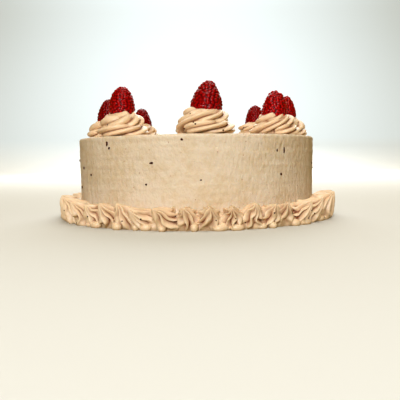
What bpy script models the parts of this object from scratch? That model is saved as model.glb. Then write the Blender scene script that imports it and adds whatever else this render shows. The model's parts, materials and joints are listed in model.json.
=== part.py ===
# Raspberry layer cake: a round cake with a smooth coat of buttercream, a piped star border
# round its foot, and a ring of piped rosettes that each carry one raspberry.
# Metres, +Z up. The origin is the middle of the cake's underside. Angles go round the cake
# from -Y, its front, towards +X.

import math
import random

import bpy
import bmesh
from mathutils import Matrix, Vector

# Cake
CAKE_RADIUS = 0.1167
CAKE_HEIGHT = 0.0780
CAKE_SIDES = 72
PLAIN_HEIGHT = 0.0250       # the wall is even up to here, where the border covers it
WALL_FLARE = 0.0005         # how much further out the wall stands at the rim
WALL_WAVE = 0.0003          # how uneven the smoothed wall is
RIM_ROUND = 0.0024          # radius of the top edge
GAP = 0.0003                # room between pieces that touch

# Fused cream is given an even skin, and then brought down to a number of triangles
BORDER_GRAIN = 0.0008
BORDER_TRIANGLES = 3400
ROSETTE_GRAIN = 0.0005
ROSETTE_TRIANGLES = 400
SMALLEST = 0.00002          # edges shorter than this are taken out

# Dark flecks of fruit in the coat: angle in degrees, height, width and length upwards
FRONT_FLECKS = (
    (-40.8, 0.0715, 0.0019, 0.0044),
    (-39.5, 0.0675, 0.0022, 0.0022),
    (-18.3, 0.0545, 0.0034, 0.0018),
    (-5.3, 0.0738, 0.0024, 0.0034),
    (-63.6, 0.0502, 0.0022, 0.0026),
    (-54.4, 0.0440, 0.0018, 0.0022),
    (-69.6, 0.0318, 0.0024, 0.0026),
    (-20.7, 0.0367, 0.0018, 0.0016),
    (2.1, 0.0402, 0.0020, 0.0014),
    (38.9, 0.0436, 0.0026, 0.0022),
    (36.5, 0.0640, 0.0012, 0.0028),
    (40.8, 0.0642, 0.0012, 0.0056),
)
REAR_FLECKS = 17            # more of them, spread round the rest of the wall
TOP_FLECKS = 5              # and a few on the bare middle of the top
FLECK_RAISE = 0.0005        # how far a fleck stands out of the coat

# Border of piped stars, squeezed into the corner under the cake's wall
STAR_COUNT = 45
STAR_START = 5.0            # angle of the first star, in degrees
STAR_RIDGES = 8
STAR_RADIUS = 0.0114
STAR_VALLEY = 0.64          # a crease's radius over a ridge's
STAR_REACH = 0.0180         # from the middle of a star's foot to its pulled tip
STAR_IN = 0.0070            # distance of a star's foot from the wall
STAR_UP = 0.0072            # height of the middle of a star's foot
CORE_OUT = 0.0120           # the solid cream behind the stars
CORE_UP = 0.0130
# How wide a star is along its length, from below its foot's middle to near its tip
STAR_PROFILE = ((-0.20, 0.92), (0.10, 1.06), (0.42, 0.82), (0.74, 0.48))
# Stars seen in front, from angle -83 to 101 degrees: sideways pull of the tip, rise in
# degrees, and size
FRONT_STARS = (
    (-0.002, 48.0, 1.05), (-0.003, 48.0, 1.10), (-0.002, 50.0, 1.12), (-0.006, 48.0, 1.12),
    (-0.008, 44.0, 1.10), (-0.002, 42.0, 1.00), (-0.002, 48.0, 1.00), (-0.004, 52.0, 1.00),
    (-0.009, 40.0, 1.00), (-0.009, 38.0, 1.00), (-0.003, 42.0, 1.00), (0.000, 40.0, 1.00),
    (-0.002, 42.0, 1.00), (0.000, 50.0, 1.00), (-0.001, 46.0, 1.00), (-0.005, 48.0, 1.00),
    (0.004, 42.0, 1.05), (0.005, 46.0, 1.15), (0.005, 48.0, 1.20), (0.002, 48.0, 1.20),
    (-0.003, 50.0, 1.20), (0.002, 50.0, 1.20), (0.003, 52.0, 1.15), (0.000, 50.0, 1.10),
)
FIRST_FRONT = -83.0

# Rosettes: angle round the cake, distance from its middle, half width, height, and the angle
# where the rope starts
ROSETTES = (
    (5.0, 0.0880, 0.0270, 0.0234, -58.0),
    (57.5, 0.0880, 0.0240, 0.0214, -8.0),
    (90.0, 0.0910, 0.0240, 0.0204, 35.0),
    (131.0, 0.0880, 0.0238, 0.0190, 80.0),
    (183.0, 0.0880, 0.0246, 0.0214, 140.0),
    (226.0, 0.0880, 0.0234, 0.0184, 200.0),
    (267.5, 0.0900, 0.0224, 0.0210, 250.0),
    (310.5, 0.0880, 0.0244, 0.0220, -108.0),
)
# The rope along its windings, in parts of the rosette's half width and height: turns wound,
# distance from the middle, half width, half height, and height of its middle
ROPE = (
    (0.00, 0.58, 0.18, 0.12, 0.18),
    (0.03, 0.58, 0.33, 0.22, 0.22),
    (0.08, 0.57, 0.42, 0.27, 0.24),
    (0.80, 0.56, 0.43, 0.28, 0.26),
    (1.15, 0.47, 0.37, 0.31, 0.59),
    (1.70, 0.44, 0.36, 0.31, 0.67),
    (2.05, 0.38, 0.32, 0.29, 0.72),
    (2.20, 0.30, 0.11, 0.11, 0.79),
)
ROPE_RIDGES = 4
ROPE_TWIST = 1.2            # turns that the ridges make round the rope in one winding
ROPE_HOOK = 0.13            # turns that they run ahead and fall behind, and where they hook up
HOOK_AT = 60.0
ROPE_VALLEY = 0.66
ROPE_STEPS = 42
# The lip of cream round the berry and the core under it, as parts of half width and height
COLLAR = ((0.66, 0.50), (0.62, 0.70), (0.54, 0.86), (0.45, 0.98), (0.36, 0.80))
CORE = ((0.56, -0.04), (0.50, 0.40), (0.40, 0.72))

# Raspberries, one in each rosette: height of the tip, width, lean outwards and lean sideways
# in degrees, the berry's own shift round the ring and outwards, and how pointed it is
BERRY_LENGTH = 0.0285
BERRY_AROUND = 20
BERRY_BUMP = 0.00045        # half a drupelet's height over the crease
SEAT_SIDES = 12             # the cream is hollowed round a berry with this many sides
BERRIES = (
    (0.1246, 0.0280, 0.0, 7.0, 0.0012, 0.0000, 1.0),
    (0.1200, 0.0242, 4.0, 5.0, -0.0030, 0.0000, 0.2),
    (0.1202, 0.0208, 1.0, 2.0, 0.0000, 0.0012, 0.4),
    (0.1168, 0.0230, 2.0, 2.0, 0.0000, 0.0005, 0.3),
    (0.1210, 0.0232, 2.0, -5.0, 0.0000, 0.0000, 0.6),
    (0.1152, 0.0224, 0.0, 3.5, -0.0032, 0.0000, 0.2),
    (0.1192, 0.0234, -3.8, 4.0, 0.0000, 0.0004, 0.4),
    (0.1240, 0.0244, 0.0, 4.0, -0.0015, 0.0000, 0.1),
)
# At parts of a berry's length: how wide a plump one is, and how wide a pointed one is, as
# parts of its full width
BERRY_PROFILE = ((0.00, 0.70, 0.70), (0.07, 0.89, 0.90), (0.16, 0.97, 0.99), (0.28, 1.00, 0.99),
                 (0.40, 0.98, 0.94), (0.52, 0.95, 0.86), (0.64, 0.88, 0.75), (0.76, 0.76, 0.61),
                 (0.87, 0.60, 0.48), (0.95, 0.40, 0.33))
SEAT_PROFILE = ((0.00, 0.74), (0.06, 0.92), (0.13, 1.00), (1.20, 1.01))

# Colours as linear red, green and blue, with a roughness
COAT = (0.78, 0.58, 0.41, 0.50)
PIPED = (0.74, 0.47, 0.31, 0.45)
BERRY = (0.40, 0.004, 0.010, 0.30)


def clear_scene():
    for old in list(bpy.data.objects):
        bpy.data.objects.remove(old, do_unlink=True)


def material(name, finish):
    made = bpy.data.materials.new(name)
    made.use_nodes = True
    shader = made.node_tree.nodes["Principled BSDF"]
    shader.inputs["Base Color"].default_value = (*finish[:3], 1.0)
    shader.inputs["Roughness"].default_value = finish[3]
    shader.inputs["Metallic"].default_value = 0.0
    made.diffuse_color = (*finish[:3], 1.0)
    return made


def outward(angle):
    """The level direction away from the cake's axis at an angle in degrees."""
    turn = math.radians(angle)
    return Vector((math.sin(turn), -math.cos(turn), 0.0))


def new_object(name, points, faces, finish=None, parent=None):
    """A closed mesh object from points and faces, with its faces turned outwards."""
    mesh = bpy.data.meshes.new(name)
    mesh.from_pydata([tuple(point) for point in points], [], faces)
    shell = bmesh.new()
    shell.from_mesh(mesh)
    bmesh.ops.recalc_face_normals(shell, faces=shell.faces)
    shell.to_mesh(mesh)
    shell.free()
    if finish:
        mesh.materials.append(finish)
    made = bpy.data.objects.new(name, mesh)
    bpy.context.collection.objects.link(made)
    made.parent = parent
    return made


def skin(rings, first, last):
    """Points and faces of the skin over rings of points, closed by a point at each end."""
    size = len(rings[0])
    points = [first]
    for ring in rings:
        points.extend(ring)
    points.append(last)
    end = len(points) - 1
    faces = []
    for step in range(size):
        after = (step + 1) % size
        faces.append((0, 1 + after, 1 + step))
        for row in range(len(rings) - 1):
            low = 1 + row * size
            high = low + size
            faces.append((low + step, low + after, high + after, high + step))
        top = 1 + (len(rings) - 1) * size
        faces.append((top + step, top + after, end))
    return points, faces


def star_ring(middle, side, up, radius, height, ridges, valley, turn=0.0):
    """A star of points round middle: ridges at full radius with creases between them."""
    ring = []
    for step in range(2 * ridges):
        angle = turn + math.pi * step / ridges
        reach = 1.0 if step % 2 == 0 else valley
        across = side * (radius * reach * math.cos(angle))
        along = up * (height * reach * math.sin(angle))
        ring.append(middle + across + along)
    return ring


def box(name, low, high):
    """A plain block between two corners, used to cut."""
    corners = [(x, y, z) for x in (low[0], high[0]) for y in (low[1], high[1])
               for z in (low[2], high[2])]
    faces = [(0, 1, 3, 2), (4, 6, 7, 5), (0, 4, 5, 1), (2, 3, 7, 6), (0, 2, 6, 4), (1, 5, 7, 3)]
    return new_object(name, corners, faces)


def round_bar(name, radius, low, high):
    """A plain upright bar on the cake's axis with as many sides as the cake."""
    rings = []
    for height in (low, high):
        rings.append([outward(360.0 * step / CAKE_SIDES) * radius + Vector((0, 0, height))
                      for step in range(CAKE_SIDES)])
    points, faces = skin(rings, Vector((0, 0, low)), Vector((0, 0, high)))
    return new_object(name, points, faces)


def apply_modifiers(target):
    graph = bpy.context.evaluated_depsgraph_get()
    baked = bpy.data.meshes.new_from_object(target.evaluated_get(graph))
    target.modifiers.clear()
    target.data = baked


def join_all(target, pieces):
    """Fuse the pieces to the target with one union, and remove them."""
    group = bpy.data.collections.new(target.name + "_pieces")
    for piece in pieces:
        group.objects.link(piece)
    union = target.modifiers.new("union", "BOOLEAN")
    union.operation = "UNION"
    union.operand_type = "COLLECTION"
    union.collection = group
    union.solver = "MANIFOLD"
    apply_modifiers(target)
    for piece in pieces:
        bpy.data.objects.remove(piece, do_unlink=True)
    bpy.data.collections.remove(group)


def cut(target, cutter):
    """Take the cutter's space out of the target, and remove the cutter."""
    carve = target.modifiers.new("cut", "BOOLEAN")
    carve.operation = "DIFFERENCE"
    carve.object = cutter
    carve.solver = "MANIFOLD"
    apply_modifiers(target)
    bpy.data.objects.remove(cutter, do_unlink=True)


def thin_out(target, grain, triangles):
    """Give a fused mesh an even skin of the grain's size, then bring it to few triangles."""
    even = target.modifiers.new("even", "REMESH")
    even.mode = "VOXEL"
    even.voxel_size = grain
    apply_modifiers(target)
    count = sum(len(face.vertices) - 2 for face in target.data.polygons)
    thin = target.modifiers.new("thin", "DECIMATE")
    thin.ratio = triangles / count
    thin.use_collapse_triangulate = True
    apply_modifiers(target)


def clean(target):
    """Take out the needle-thin faces and the loose scraps that a cut leaves."""
    shell = bmesh.new()
    shell.from_mesh(target.data)
    bmesh.ops.dissolve_degenerate(shell, edges=shell.edges, dist=SMALLEST)
    bmesh.ops.triangulate(shell, faces=shell.faces)
    left = set(shell.verts)
    bodies = []
    while left:
        reached = [left.pop()]
        for point in reached:
            near = [edge.other_vert(point) for edge in point.link_edges]
            reached.extend(other for other in near if other in left)
            left.difference_update(near)
        bodies.append(reached)
    bodies.sort(key=len)
    for body in bodies[:-1]:
        bmesh.ops.delete(shell, geom=body, context="VERTS")
    shell.to_mesh(target.data)
    shell.free()


def smooth(target, angle=40.0):
    target.data.shade_smooth()
    target.data.set_sharp_from_angle(angle=math.radians(angle))


def wave(angle, waves):
    """A gentle unevenness round the cake between -1 and 1; waves are counts and phases."""
    turn = math.radians(angle)
    total = sum(math.sin(count * turn + phase) for count, phase in waves)
    return total / len(waves)


def make_cake(finish, parent):
    """The coated cake: an even foot, a slightly uneven wall and a rounded rim."""
    draw = random.Random(11)
    waves = [(count, draw.uniform(0.0, 2.0 * math.pi)) for count in (2, 3, 5, 8)]
    levels = [(0.0, 0.0, 0.0), (PLAIN_HEIGHT, 0.0, 0.0)]
    levels.append((0.5 * (PLAIN_HEIGHT + CAKE_HEIGHT), 0.4 * WALL_FLARE, 1.0))
    for part in (0.0, 0.5, 1.0):
        bend = 0.5 * math.pi * part
        height = CAKE_HEIGHT - RIM_ROUND * (1.0 - math.sin(bend))
        inset = RIM_ROUND * (1.0 - math.cos(bend))
        levels.append((height, WALL_FLARE - inset, 1.0))
    rings = []
    for row, (height, out, uneven) in enumerate(levels):
        ring = []
        for step in range(CAKE_SIDES):
            angle = 360.0 * step / CAKE_SIDES
            bulge = WALL_WAVE * uneven * wave(angle + 9.0 * row, waves)
            ring.append(outward(angle) * (CAKE_RADIUS + out + bulge) + Vector((0, 0, height)))
        rings.append(ring)
    points, faces = skin(rings, Vector((0, 0, 0)), Vector((0, 0, CAKE_HEIGHT)))
    cake = new_object("cake", points, faces, finish, parent)
    join_all(cake, make_flecks(draw))
    clean(cake)
    smooth(cake)
    return cake


def make_fleck(number, middle, out, width, length):
    """A crumb-sized bump: six sides, half sunk in the coat."""
    side = Vector((0, 0, 1)).cross(out)
    up = Vector((0, 0, 1))
    if side.length < 0.5:
        side = Vector((1, 0, 0))
        up = Vector((0, 1, 0))
    ring = star_ring(middle + out * (0.25 * FLECK_RAISE), side, up, 0.5 * width,
                     0.5 * length, 3, 0.9, 0.3 * number)
    top = middle + out * FLECK_RAISE
    points, faces = skin([ring], middle - out * (2.0 * FLECK_RAISE), top)
    return new_object("fleck_%d" % number, points, faces)


def make_flecks(draw):
    spots = list(FRONT_FLECKS)
    for step in range(REAR_FLECKS):
        angle = 62.0 + 232.0 * (step + draw.uniform(0.15, 0.85)) / REAR_FLECKS
        height = draw.uniform(0.031, 0.072)
        size = draw.uniform(0.0016, 0.0028)
        spots.append((angle, height, size, size * draw.uniform(0.6, 1.6)))
    flecks = []
    for angle, height, width, length in spots:
        out = outward(angle)
        flare = WALL_FLARE * (height - PLAIN_HEIGHT) / (CAKE_HEIGHT - PLAIN_HEIGHT)
        middle = out * (CAKE_RADIUS + flare) + Vector((0, 0, height))
        flecks.append(make_fleck(len(flecks), middle, out, width, length))
    for step in range(TOP_FLECKS):
        place = outward(72.0 * step + 20.0) * draw.uniform(0.012, 0.050)
        middle = place + Vector((0, 0, CAKE_HEIGHT))
        flecks.append(make_fleck(len(flecks), middle, Vector((0, 0, 1)), 0.0022, 0.0026))
    return flecks


def star_lean(angle, draw):
    """A star's sideways pull, rise and size: by hand in front, drawn at random behind."""
    place = (angle - FIRST_FRONT + 180.0) % 360.0 - 180.0
    step = round(place * STAR_COUNT / 360.0)
    drawn = (draw.uniform(-0.006, 0.006), draw.uniform(38.0, 50.0), draw.uniform(1.0, 1.15))
    if 0 <= step < len(FRONT_STARS):
        return FRONT_STARS[step]
    return drawn


def make_star(number, angle, pull, rise, bulk, draw):
    """One piped star: a ridged drop that narrows to a tip pulled out, up and sideways."""
    out = outward(angle)
    side = Vector((0, 0, 1)).cross(out)
    rise = math.radians(rise)
    axis = out * math.cos(rise) + Vector((0, 0, math.sin(rise)))
    up = axis.cross(side).normalized()
    size = bulk * draw.uniform(0.94, 1.06)
    reach = STAR_REACH * bulk * draw.uniform(0.92, 1.04)
    foot = out * (CAKE_RADIUS + STAR_IN) + Vector((0, 0, STAR_UP))
    turn = draw.uniform(0.0, math.pi)
    rings = []
    for along, wide in STAR_PROFILE:
        shift = side * (pull * max(along, 0.0) ** 1.5)
        middle = foot + axis * (reach * along) + shift
        radius = STAR_RADIUS * size * wide
        rings.append(star_ring(middle, side, up, radius, radius, STAR_RIDGES, STAR_VALLEY,
                               turn + 0.35 * along))
    tip = foot + axis * reach + side * pull
    points, faces = skin(rings, foot - axis * (0.30 * reach), tip)
    return new_object("star_%d" % number, points, faces)


def make_border(finish, parent):
    """The ring of stars, cut to the cake's wall and to the surface that it stands on."""
    draw = random.Random(23)
    profile = ((-0.002, -0.001), (CORE_OUT, -0.001), (CORE_OUT, 0.4 * CORE_UP),
               (0.5 * CORE_OUT, CORE_UP), (-0.002, CORE_UP))
    size = len(profile)
    points = []
    faces = []
    for step in range(CAKE_SIDES):
        out = outward(360.0 * (step + 0.5) / CAKE_SIDES)
        points.extend(out * (CAKE_RADIUS + reach) + Vector((0, 0, height))
                      for reach, height in profile)
        after = (step + 1) % CAKE_SIDES
        for edge in range(size):
            other = (edge + 1) % size
            faces.append((step * size + edge, step * size + other,
                          after * size + other, after * size + edge))
    border = new_object("star_border", points, faces, finish, parent)
    stars = []
    for number in range(STAR_COUNT):
        angle = STAR_START + 360.0 * number / STAR_COUNT
        lean = star_lean(angle, draw)
        stars.append(make_star(number, angle + draw.uniform(-0.7, 0.7), *lean, draw))
    join_all(border, stars)
    thin_out(border, BORDER_GRAIN, BORDER_TRIANGLES)
    cut(border, round_bar("inner", CAKE_RADIUS + GAP, -0.02, 0.06))
    cut(border, box("under", (-0.2, -0.2, -0.05), (0.2, 0.2, 0.0)))
    clean(border)
    smooth(border)
    return border


def between(table, place):
    """The values of a table's rows at a place along its first column."""
    for low, high in zip(table, table[1:]):
        if place <= high[0]:
            break
    part = (place - low[0]) / (high[0] - low[0])
    return [near + (far - near) * part for near, far in zip(low[1:], high[1:])]


def rope_rings(number):
    """The ridged rings of a rosette's rope, which lies on the cake and then winds up."""
    _, _, half, tall, start = ROSETTES[number]
    rings = []
    for step in range(ROPE_STEPS + 1):
        wound = ROPE[-1][0] * step / ROPE_STEPS
        path, wide, high, level = between(ROPE, wound)
        out = outward(start + 360.0 * wound)
        middle = out * (path * half) + Vector((0, 0, level * tall))
        hook = ROPE_HOOK * math.sin(math.radians(start + 360.0 * wound - HOOK_AT))
        twist = 2.0 * math.pi * (ROPE_TWIST * (wound + hook) + 0.1)
        rings.append(star_ring(middle, out, Vector((0, 0, 1)), wide * half, high * tall,
                               ROPE_RIDGES, ROPE_VALLEY, twist))
    return rings


def turned(name, profile, half, tall, sides=24):
    """A closed round body from a profile of parts of half width and height."""
    rings = []
    for spread, level in profile:
        rings.append([outward(360.0 * step / sides) * (spread * half) + Vector((0, 0, level * tall))
                      for step in range(sides)])
    low = Vector((0, 0, profile[0][1] * tall))
    high = Vector((0, 0, profile[-1][1] * tall))
    points, faces = skin(rings, low, high)
    return new_object(name, points, faces)


def make_rosette(number, finish, parent):
    """A rosette: two turns of rope on a core, with the lip of cream round its berry's seat."""
    angle, ring, half, tall, _ = ROSETTES[number]
    rope = rope_rings(number)
    third = ROPE_STEPS // 3
    pieces = []
    for low in (0, third, 2 * third):
        stretch = rope[low:low + third + 1]
        back = sum(stretch[0], Vector()) / len(stretch[0])
        ahead = sum(stretch[-1], Vector()) / len(stretch[-1])
        points, faces = skin(stretch, back, ahead)
        pieces.append(new_object("rosette_%d" % (number + 1), points, faces))
    pieces.append(turned("collar", COLLAR, half, tall))
    pieces.append(turned("core", CORE, half, tall))
    rosette = pieces.pop(0)
    join_all(rosette, pieces)
    thin_out(rosette, ROSETTE_GRAIN, ROSETTE_TRIANGLES)
    cut(rosette, box("under", (-0.05, -0.05, -0.05), (0.05, 0.05, 0.0)))
    place = outward(angle) * ring + Vector((0, 0, CAKE_HEIGHT + GAP))
    rosette.data.transform(Matrix.Translation(place))
    cut(rosette, berry_seat(number))
    clean(rosette)
    rosette.data.materials.clear()
    rosette.data.materials.append(finish)
    rosette.parent = parent
    smooth(rosette)
    return rosette


def berry_frame(number):
    """The place of a berry: its foot in the cream, leaning as it was set down."""
    angle, ring = ROSETTES[number][:2]
    tip, _, lean_out, lean_side, around, outwards, _ = BERRIES[number]
    out = outward(angle)
    side = Vector((0, 0, 1)).cross(out)
    axis = Vector((0, 0, 1))
    axis += out * math.tan(math.radians(lean_out))
    axis += side * math.tan(math.radians(lean_side))
    axis.normalize()
    middle = out * (ring + outwards) + side * around
    foot = middle + Vector((0, 0, tip - BERRY_LENGTH))
    return foot, axis


def berry_ring(number, along, radius, sides):
    """A level ring of points round a berry, at a part of its length."""
    foot, axis = berry_frame(number)
    side = axis.cross(Vector((0, 1, 0))).normalized()
    front = axis.cross(side)
    middle = foot + axis * (along * BERRY_LENGTH)
    ring = []
    for step in range(sides):
        turn = 2.0 * math.pi * step / sides + 0.11 * number
        ring.append(middle + (side * math.cos(turn) + front * math.sin(turn)) * radius(step))
    return ring


def berry_seat(number):
    """The space a berry takes in its rosette, open at the top, with room round the berry."""
    foot, axis = berry_frame(number)
    half = 0.5 * BERRIES[number][1]
    spare = (BERRY_BUMP + GAP) / math.cos(math.pi / SEAT_SIDES)
    rings = []
    for along, part in SEAT_PROFILE:
        rings.append(berry_ring(number, along, lambda step: half * part + spare, SEAT_SIDES))
    for point in range(SEAT_SIDES):
        rings[0][point] -= axis * (2.0 * GAP)
    points, faces = skin(rings, foot - axis * (2.0 * GAP), foot + axis * (1.2 * BERRY_LENGTH))
    return new_object("seat", points, faces)


def make_berry(number, finish, parent):
    """A raspberry: staggered rows of drupelets round a blunt cone."""
    foot, axis = berry_frame(number)
    half = 0.5 * BERRIES[number][1]
    rings = []
    pointed = BERRIES[number][6]
    for row, (along, plump, slim) in enumerate(BERRY_PROFILE):
        part = plump + (slim - plump) * pointed
        bump = BERRY_BUMP * min(1.0, 2.0 * part)

        def radius(step):
            return half * part + (bump if (row + step) % 2 == 0 else -bump)

        rings.append(berry_ring(number, along, radius, BERRY_AROUND))
    points, faces = skin(rings, foot, foot + axis * BERRY_LENGTH)
    split = []
    for face in faces:
        row, step = divmod(face[0] - 1, BERRY_AROUND)
        if len(face) == 3:
            split.append(face)
        elif (row + step) % 2 == 0:
            split.append((face[0], face[1], face[3]))
            split.append((face[1], face[2], face[3]))
        else:
            split.append((face[0], face[1], face[2]))
            split.append((face[0], face[2], face[3]))
    berry = new_object("raspberry_%d" % (number + 1), points, split, finish, parent)
    smooth(berry, 30.0)
    return berry


def main():
    clear_scene()
    coat = material("smooth_buttercream", COAT)
    piped = material("piped_buttercream", PIPED)
    fruit = material("raspberry_skin", BERRY)
    whole = bpy.data.objects.new("raspberry_cake", None)
    bpy.context.collection.objects.link(whole)
    make_cake(coat, whole)
    make_border(piped, whole)
    for number in range(len(ROSETTES)):
        make_rosette(number, piped, whole)
        make_berry(number, fruit, whole)


main()
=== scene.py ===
# The looks of a raspberry buttercream cake: a scraped coat, a border of piped stars, rosettes
# with a raspberry in each, and the crumbs of fruit that show in the cream.
# Metres, +Z up, in the frame of the solids. Angles go round the cake from -Y, its front,
# towards +X.

import json
import math

import bpy
import bmesh
import numpy as np
from mathutils import Matrix, Vector

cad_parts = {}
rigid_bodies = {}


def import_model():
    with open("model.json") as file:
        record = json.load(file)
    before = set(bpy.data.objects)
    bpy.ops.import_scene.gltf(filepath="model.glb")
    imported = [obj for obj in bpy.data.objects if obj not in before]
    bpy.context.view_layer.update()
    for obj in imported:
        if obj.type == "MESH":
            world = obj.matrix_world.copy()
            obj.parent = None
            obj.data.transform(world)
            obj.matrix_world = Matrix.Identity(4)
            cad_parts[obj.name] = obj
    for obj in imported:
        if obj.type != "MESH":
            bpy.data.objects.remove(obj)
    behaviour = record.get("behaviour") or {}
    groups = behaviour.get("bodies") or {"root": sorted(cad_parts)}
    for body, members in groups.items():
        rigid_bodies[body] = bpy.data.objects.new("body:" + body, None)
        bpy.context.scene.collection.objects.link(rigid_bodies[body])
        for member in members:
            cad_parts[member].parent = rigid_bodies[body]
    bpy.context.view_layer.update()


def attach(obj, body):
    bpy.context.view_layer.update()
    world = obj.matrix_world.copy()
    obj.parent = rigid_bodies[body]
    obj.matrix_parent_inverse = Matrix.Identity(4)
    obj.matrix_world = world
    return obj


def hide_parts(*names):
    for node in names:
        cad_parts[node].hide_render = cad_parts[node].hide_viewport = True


bl_info = {
    "name": "Raspberry buttercream cake",
    "version": (1, 0, 0),
    "blender": (4, 5, 0),
    "location": "View3D > Sidebar > Cake",
    "description": "Coats, pipes and tops a round raspberry cake",
    "category": "Object",
}

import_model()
BODY = "root"
MM = 0.001
UP = (0.0, 0.0, 1.0)

# Where each kind of random draw starts; rosettes and berries add their number
COAT_SEED = 11
CRUMB_SEED = 5
BORDER_SEED = 23
ROSETTE_SEED = 40
CREAM_SEED = 17
BERRY_SEED = 70

# Cake, as the solids have it
CAKE_RADIUS = 116.7 * MM
CAKE_HEIGHT = 78.0 * MM
PLAIN_HEIGHT = 25.0 * MM    # the wall is even up to here, where the border covers it
WALL_FLARE = 0.5 * MM       # how much further out the wall stands at the rim
RIM_ROUND = 2.4 * MM        # radius of the top edge
WALL_SWELL = 0.22 * MM      # broad unevenness of the wall, of the rim and of the top
RIM_SWELL = 0.16 * MM
TOP_SWELL = 0.08 * MM

# Stars of the border
STAR_START = 5.0            # angle of the first star, in degrees
STAR_REACH = 18.0 * MM      # from the middle of a star's foot to its pulled tip
STAR_IN = 7.0 * MM          # distance of a star's foot from the wall
STAR_UP = 7.2 * MM          # height of the middle of a star's foot
CORE_OUT = 12.0 * MM        # the solid cream behind the stars
CORE_UP = 13.0 * MM
# how wide a star is, as part of its foot, at parts of its reach
STAR_PROFILE = ((-0.25, 0.88), (-0.05, 1.06), (0.10, 1.06), (0.30, 0.92), (0.50, 0.73),
                (0.70, 0.52), (0.88, 0.30), (1.0, 0.08))
# Stars seen in front, from angle -83 to 101 degrees: sideways pull of the tip in mm, rise in
# degrees, and size
FRONT_STARS = (
    (-2.0, 48.0, 1.05), (-3.0, 48.0, 1.10), (-2.0, 50.0, 1.12), (-6.0, 48.0, 1.12),
    (-8.0, 44.0, 1.10), (-2.0, 42.0, 1.00), (-2.0, 48.0, 1.00), (-4.0, 52.0, 1.00),
    (-9.0, 40.0, 1.00), (-9.0, 38.0, 1.00), (-3.0, 42.0, 1.00), (0.0, 40.0, 1.00),
    (-2.0, 42.0, 1.00), (0.0, 50.0, 1.00), (-1.0, 46.0, 1.00), (-5.0, 48.0, 1.00),
    (4.0, 42.0, 1.05), (5.0, 46.0, 1.15), (5.0, 48.0, 1.20), (2.0, 48.0, 1.20),
    (-3.0, 50.0, 1.20), (2.0, 50.0, 1.20), (3.0, 52.0, 1.15), (0.0, 50.0, 1.10),
)
FIRST_FRONT = -83.0

# Rosettes: angle round the cake, distance from its middle, half width, height, and the angle
# where the rope starts
ROSETTES = (
    (5.0, 88.0 * MM, 27.0 * MM, 23.4 * MM, -58.0),
    (57.5, 88.0 * MM, 24.0 * MM, 21.4 * MM, -8.0),
    (90.0, 91.0 * MM, 24.0 * MM, 20.4 * MM, 35.0),
    (131.0, 88.0 * MM, 23.8 * MM, 19.0 * MM, 80.0),
    (183.0, 88.0 * MM, 24.6 * MM, 21.4 * MM, 140.0),
    (226.0, 88.0 * MM, 23.4 * MM, 18.4 * MM, 200.0),
    (267.5, 90.0 * MM, 22.4 * MM, 21.0 * MM, 250.0),
    (310.5, 88.0 * MM, 24.4 * MM, 22.0 * MM, -108.0),
)
# The rope along its windings, in parts of the rosette's half width and height: turns wound,
# distance from the middle, half width, half height, and height of its middle
ROPE = (
    (0.00, 0.58, 0.18, 0.12, 0.18),
    (0.03, 0.58, 0.33, 0.22, 0.22),
    (0.08, 0.57, 0.42, 0.27, 0.24),
    (0.80, 0.56, 0.43, 0.28, 0.26),
    (1.15, 0.47, 0.37, 0.31, 0.59),
    (1.70, 0.44, 0.36, 0.31, 0.67),
    (2.05, 0.38, 0.32, 0.29, 0.72),
    (2.20, 0.30, 0.11, 0.11, 0.79),
)
# The lip of cream round a berry, from its foot over its crest, and the plain cream inside:
# radius and height, as parts of the rosette's
COLLAR = ((0.66, 0.50), (0.62, 0.70), (0.54, 0.86), (0.49, 0.96), (0.45, 1.00), (0.41, 0.96),
          (0.36, 0.80))
ROSETTE_CORE = ((0.56, -0.04), (0.50, 0.40), (0.40, 0.72))
ROPE_RIDGES = 4
ROPE_TWIST = 1.2            # turns that the ridges make round the rope in one winding
ROPE_HOOK = 0.13            # turns that they run ahead and fall behind, and where they hook up
HOOK_AT = 60.0

# Raspberries: height of the tip, width, lean outwards and sideways in degrees, the berry's
# shift round the ring and outwards, how pointed it is, and how dark with ripeness
BERRY_LENGTH = 28.5 * MM
BERRIES = (
    (124.6 * MM, 28.0 * MM, 0.0, 7.0, 1.2 * MM, 0.0, 1.0, 0.45),
    (120.0 * MM, 24.2 * MM, 4.0, 5.0, -3.0 * MM, 0.0, 0.2, 0.0),
    (120.2 * MM, 20.8 * MM, 1.0, 2.0, 0.0, 1.2 * MM, 0.4, 0.0),
    (116.8 * MM, 23.0 * MM, 2.0, 2.0, 0.0, 0.5 * MM, 0.3, 0.7),
    (121.0 * MM, 23.2 * MM, 2.0, -5.0, 0.0, 0.0, 0.6, 0.3),
    (115.2 * MM, 22.4 * MM, 0.0, 3.5, -3.2 * MM, 0.0, 0.2, 0.9),
    (119.2 * MM, 23.4 * MM, -3.8, 4.0, 0.0, 0.4 * MM, 0.4, 0.9),
    (124.0 * MM, 24.4 * MM, 0.0, 4.0, -1.5 * MM, 0.0, 0.1, 0.2),
)
# how wide a berry is, as part of its full width, at parts of its length: plump and pointed
PLUMP = ((0.00, 0.70), (0.06, 0.88), (0.15, 0.97), (0.28, 1.00), (0.44, 0.98), (0.58, 0.92),
         (0.69, 0.84), (0.80, 0.72), (0.89, 0.56), (0.95, 0.40), (0.985, 0.23), (1.0, 0.0))
POINTED = ((0.00, 0.70), (0.06, 0.88), (0.13, 0.98), (0.22, 1.00), (0.33, 0.98), (0.47, 0.90),
           (0.56, 0.83), (0.65, 0.74), (0.75, 0.62), (0.86, 0.49), (0.94, 0.35), (0.985, 0.20),
           (1.0, 0.0))

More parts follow.
